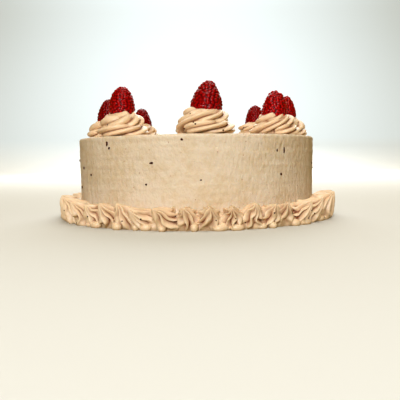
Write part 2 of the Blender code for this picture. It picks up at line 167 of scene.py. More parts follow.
# Crumbs of dark fruit in the coat's front: angle, height, width and length upwards
FRONT_FLECKS = (
    (-40.8, 71.5 * MM, 1.9 * MM, 4.4 * MM),
    (-39.5, 67.5 * MM, 2.2 * MM, 2.2 * MM),
    (-18.3, 54.5 * MM, 3.4 * MM, 1.8 * MM),
    (-5.3, 73.8 * MM, 2.4 * MM, 3.4 * MM),
    (-63.6, 50.2 * MM, 2.2 * MM, 2.6 * MM),
    (-54.4, 44.0 * MM, 1.8 * MM, 2.2 * MM),
    (-69.6, 31.8 * MM, 2.4 * MM, 2.6 * MM),
    (-20.7, 36.7 * MM, 1.8 * MM, 1.6 * MM),
    (2.1, 40.2 * MM, 2.0 * MM, 1.4 * MM),
    (38.9, 43.6 * MM, 2.6 * MM, 2.2 * MM),
    (36.5, 64.0 * MM, 1.2 * MM, 2.8 * MM),
    (40.8, 64.2 * MM, 1.2 * MM, 5.6 * MM),
)
REAR_FLECKS = 17            # more of them, spread round the rest of the wall
# and a few on the bare middle of the top: angle, and distance from the axis
TOP_FLECKS = ((20.0, 24.0 * MM), (92.0, 41.0 * MM), (164.0, 15.0 * MM), (236.0, 48.0 * MM),
              (308.0, 33.0 * MM))
CRUMB_THICK = 1.2 * MM
CRUMB_RAISE = 0.1 * MM      # how far a crumb's middle stands out of the wall
CRUMB_SUNK = 0.15 * MM      # and how far it lies under the piped cream

# Crumbs in the cream of the front rosette: angle round the rosette and height over the cake
ROSETTE_CRUMBS = ((-23.0, 10.2 * MM), (-17.0, 8.4 * MM), (-40.0, 18.5 * MM), (39.0, 2.2 * MM),
                  (-68.0, 4.4 * MM), (-51.0, 4.4 * MM))

CAKE_MIDDLE = (0.0, 0.0, 0.06)
# Soft lights of the studio: place, size, power in watts, tint, the point they face, and how
# many degrees they spread over
LIGHTS = (
    ("window_key", (-0.20, -1.62, 0.50), 0.5, 19.4, (0.90, 0.95, 1.0), CAKE_MIDDLE, 180.0),
    ("top_light", (0.30, -0.10, 1.52), 0.9, 4.6, (1.0, 0.98, 0.94), CAKE_MIDDLE, 180.0),
    ("back_fill", (0.1, 1.5, 1.1), 1.8, 25.0, (0.93, 0.95, 0.96), CAKE_MIDDLE, 180.0),
    ("floor_light", (0.0, -0.9, 1.3), 0.5, 0.7, (1.0, 1.0, 0.98), (0.0, -0.35, 0.0), 80.0),
    ("backdrop_light", (0.0, 0.9, 2.4), 1.6, 27.0, (0.93, 0.97, 1.0), (0.0, 2.5, 0.5), 108.0),
)
# The studio's pale walls, and the dim light that comes back from the room
WALLS_SEEN = "E4EAE9"
ROOM_TINT = (1.0, 0.64, 0.03)
ROOM_STRENGTH = 0.19

# The paper behind the cake: half its width, where it starts in front and ends behind, how
# high it goes, and the radius of its bend
PAPER_SIDE = 1.3
PAPER_FRONT = -2.4
PAPER_BACK = 2.6
PAPER_TOP = 2.6
PAPER_BEND = 0.9

# The camera that the photograph was taken with, found from the cake's outline
CAMERA_AT = (3.3 * MM, -554.1 * MM, 57.7 * MM)
CAMERA_LENS = 48.24         # on a sensor 36 mm wide
CAMERA_DOWN = math.radians(4.42)
CAMERA_ROLL = math.radians(0.68)


def linear(code):
    """Linear red, green and blue of an sRGB hex colour."""
    parts = [int(code[place:place + 2], 16) / 255.0 for place in (0, 2, 4)]
    return tuple(part / 12.92 if part <= 0.04045 else ((part + 0.055) / 1.055) ** 2.4
                 for part in parts)


def tinted(colour, red=1.0, green=1.0, blue=1.0):
    """A colour for a socket, each part brought to a share of what it is."""
    return colour[0] * red, colour[1] * green, colour[2] * blue, 1.0


def colour_property(name, description, code):
    return bpy.props.FloatVectorProperty(
        name=name, description=description, subtype="COLOR", size=3, min=0.0, max=1.0,
        default=linear(code))


class CakeSettings(bpy.types.PropertyGroup):
    """What a user would change about the cake."""

    coat: colour_property("Coat", "Colour of the scraped buttercream", "E0CEB7")
    piped: colour_property("Piped cream", "Colour of the piped buttercream", "EBD1B2")
    # the crease colour is painted shade, painted into the piped cream's creases for the shade
    # that falls there
    crease: colour_property("Creases", "Colour of the cream deep between ridges", "8A4A24")
    berry: colour_property("Raspberry", "Colour of the ripe drupelets", "B40306")
    # the colour between drupelets is painted shade, for the shade that falls in the creases
    berry_crease_shade: colour_property("Raspberry creases", "Colour between drupelets", "4A0208")
    fleck: colour_property("Fruit crumbs", "Colour of the dark fruit in the cream", "320B02")
    floor: colour_property("Floor", "Colour of the floor", "DDDDD9")
    backdrop: colour_property("Backdrop", "Colour of the paper behind", "DCE6ED")
    stars: bpy.props.IntProperty(
        name="Stars", description="How many stars make the border", default=45, min=20, max=80)
    star_radius: bpy.props.FloatProperty(
        name="Star radius", description="Half the width of a border star at its foot",
        default=11.4 * MM, min=0.004, max=0.02, subtype="DISTANCE", unit="LENGTH")
    star_ridges: bpy.props.IntProperty(
        name="Nozzle teeth", description="Ridges that the star nozzle gives the cream",
        default=8, min=4, max=12)
    relief: bpy.props.FloatProperty(
        name="Scraper marks", description="Depth of the marks that the scraper leaves",
        default=0.10 * MM, min=0.0, max=0.001, subtype="DISTANCE", unit="LENGTH")
    drupelets: bpy.props.IntProperty(
        name="Drupelets", description="Drupelets round the widest row of a raspberry",
        default=26, min=8, max=40)


# Mesh tools


def outward(angle):
    """The level direction away from the cake's axis at an angle in degrees."""
    turn = math.radians(angle)
    return np.array((math.sin(turn), -math.cos(turn), 0.0))


def smooth_noise(shape, grain, draw):
    """Random relief with a spread of 1 that repeats both ways, with grains this many cells."""
    spectrum = np.fft.rfft2(draw.standard_normal(shape))
    down = np.fft.fftfreq(shape[0])[:, None] * grain[0]
    across = np.fft.rfftfreq(shape[1])[None, :] * grain[1]
    field = np.fft.irfft2(spectrum * np.exp(-4.0 * (down ** 2 + across ** 2)), s=shape)
    return field / max(field.std(), 1e-9)


def new_piece(name, points, faces):
    mesh = bpy.data.meshes.new(name)
    mesh.from_pydata(np.asarray(points, float).tolist(), [], faces)
    piece = bpy.data.objects.new(name, mesh)
    bpy.context.scene.collection.objects.link(piece)
    return piece


def skin(rings, first, last):
    """Points and faces of the skin over rings of points, closed by a point at each end."""
    rows, size = rings.shape[:2]
    points = np.concatenate(([first], rings.reshape(-1, 3), [last]))
    step = np.arange(size)
    after = (step + 1) % size
    faces = np.stack((np.zeros(size, int), 1 + after, 1 + step), 1).tolist()
    for row in range(rows - 1):
        low = 1 + row * size
        high = low + size
        faces += np.stack((low + step, low + after, high + after, high + step), 1).tolist()
    top = 1 + (rows - 1) * size
    end = np.full(size, len(points) - 1)
    faces += np.stack((top + step, top + after, end), 1).tolist()
    return points, faces


def face_outwards(piece):
    shell = bmesh.new()
    shell.from_mesh(piece.data)
    bmesh.ops.recalc_face_normals(shell, faces=shell.faces)
    shell.to_mesh(piece.data)
    shell.free()


def apply_modifiers(piece):
    graph = bpy.context.evaluated_depsgraph_get()
    baked = bpy.data.meshes.new_from_object(piece.evaluated_get(graph))
    piece.modifiers.clear()
    piece.data = baked


def combine(piece, others, operation):
    """Fuse other closed pieces to this one, or take their space out of it, and remove them."""
    for part in [piece] + others:
        face_outwards(part)
    group = bpy.data.collections.new("others")
    for other in others:
        group.objects.link(other)
    change = piece.modifiers.new("change", "BOOLEAN")
    change.operation = operation
    change.operand_type = "COLLECTION"
    change.collection = group
    change.solver = "MANIFOLD"
    apply_modifiers(piece)
    for other in others:
        bpy.data.objects.remove(other, do_unlink=True)
    bpy.data.collections.remove(group)


def block(low, high):
    corners = [(x, y, z) for x in (low[0], high[0]) for y in (low[1], high[1])
               for z in (low[2], high[2])]
    faces = [(0, 1, 3, 2), (4, 6, 7, 5), (0, 4, 5, 1), (2, 3, 7, 6), (0, 2, 6, 4), (1, 5, 7, 3)]
    return new_piece("block", corners, faces)


def mark_hollows(piece, spread):
    """Store how hollow the surface is at each point, from 0 on ridges to 1 deep in creases."""
    mesh = piece.data
    count = len(mesh.vertices)
    places = np.empty(count * 3)
    mesh.vertices.foreach_get("co", places)
    places = places.reshape(-1, 3)
    normals = np.empty(count * 3)
    mesh.vertex_normals.foreach_get("vector", normals)
    normals = normals.reshape(-1, 3)
    ends = np.empty(len(mesh.edges) * 2, int)
    mesh.edges.foreach_get("vertices", ends)
    ends = ends.reshape(-1, 2)
    both = np.concatenate((ends, ends[:, ::-1]))
    links = np.maximum(np.bincount(both[:, 0], minlength=count), 1)

    def around(values):
        """The mean of a value over the points next to each point."""
        if values.ndim == 1:
            return np.bincount(both[:, 0], values[both[:, 1]], count) / links
        return np.stack([around(values[:, axis]) for axis in range(3)], 1)

    blurred = places
    for _ in range(spread):
        blurred = around(blurred)
    hollow = ((blurred - places) * normals).sum(1)
    for _ in range(2):
        hollow = 0.5 * (hollow + around(hollow))
    low, high = np.percentile(hollow, (38, 95))
    level = np.clip((hollow - low) / max(high - low, 1e-9), 0.0, 1.0)
    mark = mesh.attributes.new("hollow", "FLOAT", "POINT")
    mark.data.foreach_set("value", level.astype(np.float32))


def finish_piece(piece, finish, slot, *nodes):
    piece.data.materials.clear()
    piece.data.materials.append(finish)
    piece.data.shade_smooth()
    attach(piece, BODY)
    if nodes:
        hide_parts(*nodes)


# Materials

# how far red, green and blue light spread in cream and in fruit, one to another
CREAM_GLOW = (1.0, 0.62, 0.36)
JUICE_GLOW = (1.0, 0.12, 0.10)
# the colour sockets of a Mix node
MIX_A = 6
MIX_B = 7
MIX_OUT = 2


def fill_sockets(node, values):
    """Values pair a socket with what it is set to, or with the output that is linked to it."""
    for socket, value in values:
        if isinstance(value, bpy.types.NodeSocket):
            node.id_data.links.new(value, node.inputs[socket])
        else:
            node.inputs[socket].default_value = value


def add_node(tree, kind, values=(), **settings):
    """Add one node with its settings, and fill its sockets."""
    made = tree.nodes.new(kind)
    for name, value in settings.items():
        setattr(made, name, value)
    fill_sockets(made, values)
    return made


def new_material(name):
    made = bpy.data.materials.new(name)
    made.use_nodes = True
    return made, made.node_tree, made.node_tree.nodes["Principled BSDF"]


def scraped_buttercream(settings):
    """Raspberry buttercream scraped smooth: satin, soft light inside, faint marks and specks."""
    made, tree, shader = new_material("scraped_raspberry_buttercream")
    place = add_node(tree, "ShaderNodeTexCoord").outputs["Object"]
    # broad patches where the cream is thinner or more worked, about 30 mm across
    patches = add_node(tree, "ShaderNodeTexNoise", (
        ("Vector", place), ("Scale", 1.0 / (30 * MM)), ("Detail", 3.0)))
    # mottles about 5 mm across, where the scraper has torn and filled the cream
    mottles = add_node(tree, "ShaderNodeTexNoise", (
        ("Vector", place), ("Scale", 1.0 / (5 * MM)), ("Detail", 4.0), ("Roughness", 0.65)))
    shade = add_node(tree, "ShaderNodeMath", (
        (0, patches.outputs["Fac"]), (1, mottles.outputs["Fac"])), operation="ADD")
    shade = add_node(tree, "ShaderNodeMapRange", (
        ("Value", shade.outputs[0]), ("From Min", 0.90), ("From Max", 1.22)))
    # fruit specks about 1 mm wide
    specks = add_node(tree, "ShaderNodeTexVoronoi", (
        ("Vector", place), ("Scale", 1.0 / (5.2 * MM)), ("Randomness", 1.0)))
    dots = add_node(tree, "ShaderNodeMapRange", (
        ("Value", specks.outputs["Distance"]), ("From Min", 0.05), ("From Max", 0.15),
        ("To Min", 0.9), ("To Max", 0.0)))
    rare = add_node(tree, "ShaderNodeMath", (
        (0, specks.outputs["Color"]), (1, 0.58)), operation="GREATER_THAN")
    speck = add_node(tree, "ShaderNodeMath", (
        (0, dots.outputs["Result"]), (1, rare.outputs[0])), operation="MULTIPLY")
    tone = add_node(tree, "ShaderNodeMix", (
        ("Factor", shade.outputs["Result"]), (MIX_A, tinted(settings.coat)),
        (MIX_B, tinted(settings.coat, 0.91, 0.86, 0.76))), data_type="RGBA")
    dotted = add_node(tree, "ShaderNodeMix", (
        ("Factor", speck.outputs[0]), (MIX_A, tone.outputs[MIX_OUT]),
        (MIX_B, tinted(settings.coat, 0.62, 0.42, 0.34))), data_type="RGBA")
    # pits about 1.6 mm wide, too shallow to model
    grain = add_node(tree, "ShaderNodeTexNoise", (
        ("Vector", place), ("Scale", 1.0 / (1.6 * MM)), ("Detail", 4.0), ("Roughness", 0.6)))
    pits = add_node(tree, "ShaderNodeBump", (
        ("Height", grain.outputs["Fac"]), ("Strength", 1.0), ("Distance", 0.45 * MM)))
    # upright drag marks about 3 mm wide and 6 mm long
    stretched = add_node(tree, "ShaderNodeMapping", (
        ("Vector", place), ("Scale", (1.0, 1.0, 0.5))))
    strokes = add_node(tree, "ShaderNodeTexNoise", (
        ("Vector", stretched.outputs[0]), ("Scale", 1.0 / (3 * MM)), ("Detail", 3.0)))
    drags = add_node(tree, "ShaderNodeBump", (
        ("Height", strokes.outputs["Fac"]), ("Strength", 1.0), ("Distance", 1.0 * MM),
        ("Normal", pits.outputs["Normal"])))
    fill_sockets(shader, (
        ("Base Color", dotted.outputs[MIX_OUT]), ("Roughness", 0.60),
        ("Specular IOR Level", 0.12), ("Subsurface Weight", 0.22),
        ("Subsurface Radius", CREAM_GLOW), ("Subsurface Scale", 3.0 * MM),
        ("Normal", drags.outputs["Normal"])))
    return made


def piped_buttercream(settings):
    """The same cream piped: paler on its ridges, with painted shade warm and deep in the creases.
    """
    made, tree, shader = new_material("piped_raspberry_buttercream")
    place = add_node(tree, "ShaderNodeTexCoord").outputs["Object"]
    hollow = add_node(tree, "ShaderNodeAttribute", attribute_name="hollow").outputs["Fac"]
    patches = add_node(tree, "ShaderNodeTexNoise", (
        ("Vector", place), ("Scale", 1.0 / (9 * MM)), ("Detail", 3.0)))
    tone = add_node(tree, "ShaderNodeMix", (
        ("Factor", patches.outputs["Fac"]), (MIX_A, tinted(settings.piped)),
        (MIX_B, tinted(settings.piped, 0.97, 0.92, 0.84))), data_type="RGBA")
    # painted shade: the colour is pulled towards the crease colour where the cream is hollow
    depth = add_node(tree, "ShaderNodeMath", ((0, hollow), (1, 1.35)), operation="POWER")
    deep = add_node(tree, "ShaderNodeMix", (
        ("Factor", depth.outputs[0]), (MIX_A, tone.outputs[MIX_OUT]),
        (MIX_B, tinted(settings.crease))), data_type="RGBA")
    # the torn, slightly grainy skin of stiff cream, grains about 0.9 mm
    grain = add_node(tree, "ShaderNodeTexNoise", (
        ("Vector", place), ("Scale", 1.0 / (0.9 * MM)), ("Detail", 4.0)))
    bump = add_node(tree, "ShaderNodeBump", (
        ("Height", grain.outputs["Fac"]), ("Strength", 0.30), ("Distance", 0.12 * MM)))
    fill_sockets(shader, (
        ("Base Color", deep.outputs[MIX_OUT]), ("Roughness", 0.40), ("IOR", 1.46),
        ("Subsurface Weight", 0.20), ("Subsurface Radius", CREAM_GLOW),
        ("Subsurface Scale", 2.0 * MM), ("Normal", bump.outputs["Normal"])))
    return made


def raspberry_skin(settings):
    """Ripe drupelets: thin glossy skin over juicy flesh, with painted shade dark red in the
    creases.
    """
    made, tree, shader = new_material("raspberry_skin")
    hollow = add_node(tree, "ShaderNodeAttribute", attribute_name="hollow").outputs["Fac"]
    ripe = add_node(tree, "ShaderNodeAttribute", attribute_name="ripe").outputs["Fac"]
    tone = add_node(tree, "ShaderNodeMix", (
        ("Factor", ripe), (MIX_A, tinted(settings.berry)),
        (MIX_B, tinted(settings.berry, 0.55, 0.8, 0.9))), data_type="RGBA")
    # the creases between drupelets stay dark, as little light comes back out of them
    dark = add_node(tree, "ShaderNodeMath", ((0, hollow), (1, 0.7)), operation="POWER")
    deep = add_node(tree, "ShaderNodeMix", (
        ("Factor", dark.outputs[0]), (MIX_A, tone.outputs[MIX_OUT]),
        (MIX_B, tinted(settings.berry_crease_shade))), data_type="RGBA")
    fill_sockets(shader, (
        ("Base Color", deep.outputs[MIX_OUT]), ("Roughness", 0.20), ("IOR", 1.40),
        ("Specular IOR Level", 0.26), ("Subsurface Weight", 0.18),
        ("Subsurface Radius", JUICE_GLOW), ("Subsurface Scale", 1.6 * MM)))
    return made


def dried_fruit(settings):
    """Crumbs of dark dried raspberry: dull, leathery, dark brown."""
    made, tree, shader = new_material("dried_raspberry_crumb")
    place = add_node(tree, "ShaderNodeTexCoord").outputs["Object"]
    mottle = add_node(tree, "ShaderNodeTexNoise", (
        ("Vector", place), ("Scale", 1.0 / (0.8 * MM)), ("Detail", 2.0)))
    tone = add_node(tree, "ShaderNodeMix", (
        ("Factor", mottle.outputs["Fac"]), (MIX_A, tinted(settings.fleck)),
        (MIX_B, tinted(settings.fleck, 2.2, 2.2, 2.2))), data_type="RGBA")
    fill_sockets(shader, (
        ("Base Color", tone.outputs[MIX_OUT]), ("Roughness", 0.70),
        ("Specular IOR Level", 0.12)))
    return made


def matt_paper(settings):
    """The seamless paper that the cake stands on: matt, warm white below and cool behind."""
    made, tree, shader = new_material("seamless_paper")
    place = add_node(tree, "ShaderNodeTexCoord").outputs["Object"]
    height = add_node(tree, "ShaderNodeSeparateXYZ", ((0, place),)).outputs["Z"]
    behind = add_node(tree, "ShaderNodeMapRange", (
        ("Value", height), ("From Min", 0.0), ("From Max", 0.16)))
    tone = add_node(tree, "ShaderNodeMix", (
        ("Factor", behind.outputs["Result"]), (MIX_A, tinted(settings.floor)),
        (MIX_B, tinted(settings.backdrop))), data_type="RGBA")
    fill_sockets(shader, (
        ("Base Color", tone.outputs[MIX_OUT]), ("Roughness", 0.9), ("Specular IOR Level", 0.1)))
    return made


# Shapes


def wall_relief(angles, levels, draw, settings):
    """How far the coat stands out of true over a grid of angles and heights."""
    shape = (len(levels), len(angles))
    tall = 1.0 / (levels[1] - levels[0])
    wide = 1.0 / (2.0 * math.pi * CAKE_RADIUS / len(angles))
    relief = WALL_SWELL * smooth_noise(shape, (40 * MM * tall, 60 * MM * wide), draw)
    marks = smooth_noise(shape, (2.5 * MM * tall, 45 * MM * wide), draw)
    relief += settings.relief * marks
    # the scraper was lifted and set down again at the sides, which left upright ripples
    aside = np.clip((np.abs((angles + 180.0) % 360.0 - 180.0) - 28.0) / 16.0, 0.0, 1.0)
    ripples = smooth_noise(shape, (34 * MM * tall, 5 * MM * wide), draw)
    relief += settings.relief * 1.3 * ripples * aside
    return relief


def make_coat(settings):
    """The scraped coat: wall, rim and top in one closed skin."""
    draw = np.random.default_rng(COAT_SEED)
    columns = 720
    angles = np.arange(columns) * 360.0 / columns
    wall = np.linspace(0.0, CAKE_HEIGHT - RIM_ROUND, 96)
    relief = wall_relief(angles, wall, draw, settings)
    out = np.stack([outward(angle) for angle in angles])
    fade = np.clip((wall - 0.6 * PLAIN_HEIGHT) / (0.4 * PLAIN_HEIGHT), 0.0, 1.0)
    flare = WALL_FLARE * np.clip((wall - PLAIN_HEIGHT) / (CAKE_HEIGHT - PLAIN_HEIGHT), 0, 1)
    rings = []
    for row, height in enumerate(wall):
        radius = CAKE_RADIUS + flare[row] + relief[row] * fade[row]
        rings.append(out * radius[:, None] + (0.0, 0.0, height))
    edge = CAKE_RADIUS + WALL_FLARE + relief[-1]
    waves = RIM_SWELL * smooth_noise((4, columns), (1, 9), draw)[0]
    for part in (0.17, 0.34, 0.51, 0.68, 0.84, 1.0):
        bend = 0.5 * math.pi * part
        radius = edge - RIM_ROUND * (1.0 - math.cos(bend))
        height = CAKE_HEIGHT - RIM_ROUND * (1.0 - math.sin(bend))
        ring = out * radius[:, None]
        ring[:, 2] = height + part * waves
        rings.append(ring)
    top = TOP_SWELL * smooth_noise((24, columns), (5, 40), draw)
    level = CAKE_HEIGHT - 0.1 * MM    # the top lies a little under its rim
    for row, part in enumerate(np.linspace(0.97, 0.02, 24)):
        ring = out * (part * edge.mean())
        ring[:, 2] = level + top[row] * part
        rings.append(ring)
    coat = new_piece("scraped_coat", *skin(np.array(rings), (0.0, 0.0, 0.0), (0.0, 0.0, level)))
    face_outwards(coat)
    return coat


def ridge_profile(turns, ridges, crease, thick, skew=1.0):
    """Radius over a ridged section. Thick is over 1 for thin fins and under 1 for round ropes."""
    phase = ((turns * ridges) % 1.0) ** skew
    hump = (0.5 - 0.5 * np.cos(2.0 * math.pi * phase)) ** thick
    return 1.0 - crease * (1.0 - hump)


def make_star(angle, pull, rise, bulk, settings, draw):
    """One piped star: thin folds fan from its foot and gather to a tip pulled up and aside."""
    ridges = settings.star_ridges
    steps, around = 28, ridges * 11
    out = outward(angle)
    side = np.cross(UP, out)
    axis = out * math.cos(rise) + np.array((0.0, 0.0, math.sin(rise)))
    up = np.cross(axis, side)
    size = settings.star_radius * bulk * draw.uniform(0.93, 1.07)
    reach = STAR_REACH * bulk * draw.uniform(0.92, 1.04)
    foot = out * (CAKE_RADIUS + STAR_IN) + (0.0, 0.0, STAR_UP)
    part = np.linspace(STAR_PROFILE[0][0], 1.0, steps)
    wide = np.interp(part, *np.array(STAR_PROFILE).T)
    turns = np.arange(around) / around
    start = draw.uniform(0.0, 1.0)
    spin = draw.uniform(-0.10, 0.10) + 6.0 * pull
    lumps = 1.0 + 0.07 * smooth_noise((steps, around), (6, 8), draw)
    folds = 0.26 / ridges * smooth_noise((steps, around), (6, 16), draw)
    heights = draw.uniform(0.80, 1.12, ridges)
    rings = np.empty((steps, around, 3))
    for row in range(steps):
        lift = max(part[row], 0.0)
        place = turns + start + spin * part[row] + folds[row]
        section = ridge_profile(place, ridges, crease=0.54, thick=1.3, skew=0.75)
        nearest = np.floor(place * ridges).astype(int) % ridges
        section = 1.0 - (1.0 - section * lumps[row]) * heights[nearest]
        radius = size * wide[row] * section
        middle = foot + axis * (reach * part[row]) + side * (pull * lift ** 1.5)
        rings[row] = (middle + side * (radius * np.cos(2.0 * math.pi * turns))[:, None]
                      + up * (radius * np.sin(2.0 * math.pi * turns))[:, None])
    tuck_under(rings)
    tip = foot + axis * (reach * 1.03) + side * pull
    return new_piece("star", *skin(rings, foot - axis * (0.3 * reach), tip))


def make_drop(angle, draw):
    """A round drop of cream that the nozzle pressed out at the foot of the stars."""
    out = outward(angle)
    side = np.cross(UP, out)
    wide, high = draw.uniform(3.0, 6.4) * MM, draw.uniform(2.6, 4.4) * MM
    middle = out * (CAKE_RADIUS + draw.uniform(12.8, 15.8) * MM) + (0.0, 0.0, 0.7 * high)
    turn = 2.0 * math.pi * np.arange(14) / 14
    rings = []
    for bend in np.linspace(-0.42, 0.42, 8) * math.pi:
        radius = math.cos(bend)
        rings.append(middle + side * (wide * radius * np.cos(turn))[:, None]
                     + out * (4.0 * MM * radius * np.sin(turn))[:, None]
                     + (0.0, 0.0, high * math.sin(bend)))
    low, top = middle - (0.0, 0.0, high), middle + (0.0, 0.0, high)
    return new_piece("drop", *skin(np.array(rings), low, top))


def tuck_under(rings, level=3.2 * MM, depth=2.6 * MM):
    """Roll the foot of a star in where it meets the floor, as soft cream does."""
    low = np.clip(1.0 - np.maximum(rings[..., 2], 0.0) / level, 0.0, 1.0)
    reach = np.linalg.norm(rings[..., :2], axis=2)
    near = np.maximum(reach - depth * low ** 2, CAKE_RADIUS)
    move = np.where(reach > CAKE_RADIUS + 6 * MM, near / reach, 1.0)
    rings[..., :2] *= move[..., None]


def cream_ring(columns=180):
    """The cream behind the stars, a plain ring in the corner under the wall."""
    profile = ((-2 * MM, -1 * MM), (CORE_OUT, -1 * MM), (CORE_OUT, 0.4 * CORE_UP),
               (0.5 * CORE_OUT, CORE_UP), (-2 * MM, CORE_UP))
    size = len(profile)
    points = []
    faces = []
    for step in range(columns):
        out = outward(360.0 * (step + 0.5) / columns)
        points += [out * (CAKE_RADIUS + reach) + (0.0, 0.0, height) for reach, height in profile]
        after = (step + 1) % columns
        for edge in range(size):
            other = (edge + 1) % size
            faces.append((step * size + edge, step * size + other,
                          after * size + other, after * size + edge))
    return new_piece("piped_star_border", points, faces)


def round_bar(radius, low, high, columns=360):
    out = np.stack([outward(360.0 * step / columns) for step in range(columns)])
    rings = np.stack([out * radius + (0.0, 0.0, height) for height in (low, high)])
    return new_piece("bar", *skin(rings, (0.0, 0.0, low), (0.0, 0.0, high)))


def make_border(settings):
    """The ring of stars with drops at its foot, cut off at the wall and at the floor."""
    draw = np.random.default_rng(BORDER_SEED)
    border = cream_ring()
    stars = []
    for number in range(settings.stars):
        angle = STAR_START + 360.0 * number / settings.stars
        place = (angle - FIRST_FRONT + 180.0) % 360.0 - 180.0
        step = round(place * settings.stars / 360.0)
        lean = draw.uniform(-6.0, 6.0), draw.uniform(38.0, 50.0), draw.uniform(1.0, 1.15)
        if 0 <= step < len(FRONT_STARS):
            lean = FRONT_STARS[step]
        pull, rise, bulk = lean
        stars.append(make_star(angle + draw.uniform(-0.7, 0.7), pull * MM, math.radians(rise),
                               bulk, settings, draw))
    for number in range(2 * settings.stars):
        angle = STAR_START + 180.0 * (number + draw.uniform(0.1, 0.9)) / settings.stars
        drop = make_drop(angle, draw)
        if draw.uniform(0.0, 1.0) < 0.6:
            stars.append(drop)
        else:
            bpy.data.objects.remove(drop, do_unlink=True)
    combine(border, stars, "UNION")
    cake_space = round_bar(CAKE_RADIUS - 0.2 * MM, -0.02, 0.06)
    floor_space = block((-0.2, -0.2, -0.05), (0.2, 0.2, 0.0))
    combine(border, [cake_space], "DIFFERENCE")
    combine(border, [floor_space], "DIFFERENCE")
    mark_hollows(border, spread=6)
    return border


def rope_rings(number, draw):
    """The rings of a rosette's whole rope, which lies flat on the cake and then winds up."""
    _, _, half, tall, start = ROSETTES[number]
    table = np.array(ROPE).T
    steps, around = 180, ROPE_RIDGES * 16
    wind = np.linspace(0.0, table[0][-1], steps)
    radius, wide, high, level = [np.interp(wind, table[0], row) for row in table[1:]]
    turns = np.arange(around) / around
    lumps = 1.0 + 0.05 * smooth_noise((steps, around), (24, 30), draw)
    folds = 0.22 / ROPE_RIDGES * smooth_noise((steps, around), (30, 30), draw)
    rings = np.empty((steps, around, 3))
    for row in range(steps):
        hook = ROPE_HOOK * math.sin(math.radians(start + 360.0 * wind[row] - HOOK_AT))
        twist = turns - ROPE_TWIST * (wind[row] + hook) + folds[row]
        section = ridge_profile(twist, ROPE_RIDGES, crease=0.46, thick=0.5, skew=1.25)
        section *= lumps[row]
        across = half * wide[row] * section * np.cos(2.0 * math.pi * turns)
        above = tall * high[row] * section * np.sin(2.0 * math.pi * turns)
        reach = np.maximum(half * radius[row] + across, 0.3 * MM)
        rings[row] = outward(start + 360.0 * wind[row]) * reach[:, None]
        rings[row][:, 2] = tall * level[row] + above
    return rings


def collar_rings(number, draw):
    """The ragged lip of cream that rises where the berry is pushed in."""
    _, _, half, tall, _ = ROSETTES[number]
    around = 96
    out = np.stack([outward(360.0 * step / around) for step in range(around)])
    peaks = smooth_noise((4, around), (1, 8), draw)[0]
    crest = tall * (1.0 + 0.05 * np.clip(peaks, -1.5, 1.8))
    rings = []
    for spread, level in COLLAR:
        ring = out * (spread * half)
        ring[:, 2] = crest * level
        rings.append(ring)
    return np.array(rings)


def make_rosette(number):
    """A rosette of star-tip rope: two turns that climb to the berry, and the lip round it."""
    draw = np.random.default_rng(ROSETTE_SEED + number)
    angle, ring_radius, half, tall, _ = ROSETTES[number]
    rope = rope_rings(number, draw)
    pieces = []
    # three lengths of rope, as one skin would cross itself
    for low, high in ((0, 62), (61, 122), (121, 180)):
        rings = rope[low:high]
        pieces.append(new_piece("rope", *skin(rings, rings[0].mean(0), rings[-1].mean(0))))
    collar = collar_rings(number, draw)
    pieces.append(new_piece(
        "collar", *skin(collar, (0.0, 0.0, 0.45 * tall), (0.0, 0.0, 0.75 * tall))))
    core = []
    for radius, height in ROSETTE_CORE:
        ring = np.stack([outward(15.0 * step) for step in range(24)]) * (radius * half)
        ring[:, 2] = height * tall
        core.append(ring)
    pieces.append(new_piece(
        "core", *skin(np.array(core), (0.0, 0.0, -0.04 * tall), (0.0, 0.0, 0.72 * tall))))
    rosette = pieces.pop(0)
    rosette.name = "piped_rosette_%d" % (number + 1)
    combine(rosette, pieces, "UNION")
    combine(rosette, [block((-0.05, -0.05, -0.05), (0.05, 0.05, 0.0))], "DIFFERENCE")
    place = Vector(outward(angle) * ring_radius) + Vector(UP) * CAKE_HEIGHT
    rosette.data.transform(Matrix.Translation(place))
    mark_hollows(rosette, spread=7)
    return rosette


def berry_frame(number):
    """The foot of a berry in its cream, and the axis it leans along."""
    angle = ROSETTES[number][0]
    tip, _, lean_out, lean_side, along, outwards = BERRIES[number][:6]
    out = outward(angle)
    side = np.cross(UP, out)
    axis = np.array(UP)
    axis += out * math.tan(math.radians(lean_out)) + side * math.tan(math.radians(lean_side))
    axis /= np.linalg.norm(axis)
    foot = out * (ROSETTES[number][1] + outwards) + side * along
    foot[2] = tip - BERRY_LENGTH
    return foot, axis


def curve_length(curve):
    return np.linalg.norm(np.diff(curve, axis=0), axis=1).sum()


def berry_curve(half, pointed, steps):
    """The berry's outline from its foot to its tip, evenly spaced, and its outward lean."""
    parts, plump = np.array(PLUMP).T
    places, slim = np.array(POINTED).T
    level = np.sin(np.linspace(0.0, 0.5 * math.pi, 200))
    wide = (1.0 - pointed) * np.interp(level, parts, plump)
    wide += pointed * np.interp(level, places, slim)
    wide = np.convolve(np.pad(wide, 6, "edge"), np.ones(13) / 13.0, "valid")
    line = np.stack((wide * half, level * BERRY_LENGTH), 1)
    line[-1, 0] = 0.0
    run = np.concatenate(([0.0], np.cumsum(np.linalg.norm(np.diff(line, axis=0), axis=1))))
    even = np.linspace(0.0, run[-1], steps)
    curve = np.stack([np.interp(even, run, line[:, axis]) for axis in (0, 1)], 1)
    ahead = np.gradient(curve, axis=0)
    lean = np.stack((ahead[:, 1], -ahead[:, 0]), 1)
    return curve, lean / np.linalg.norm(lean, axis=1, keepdims=True)


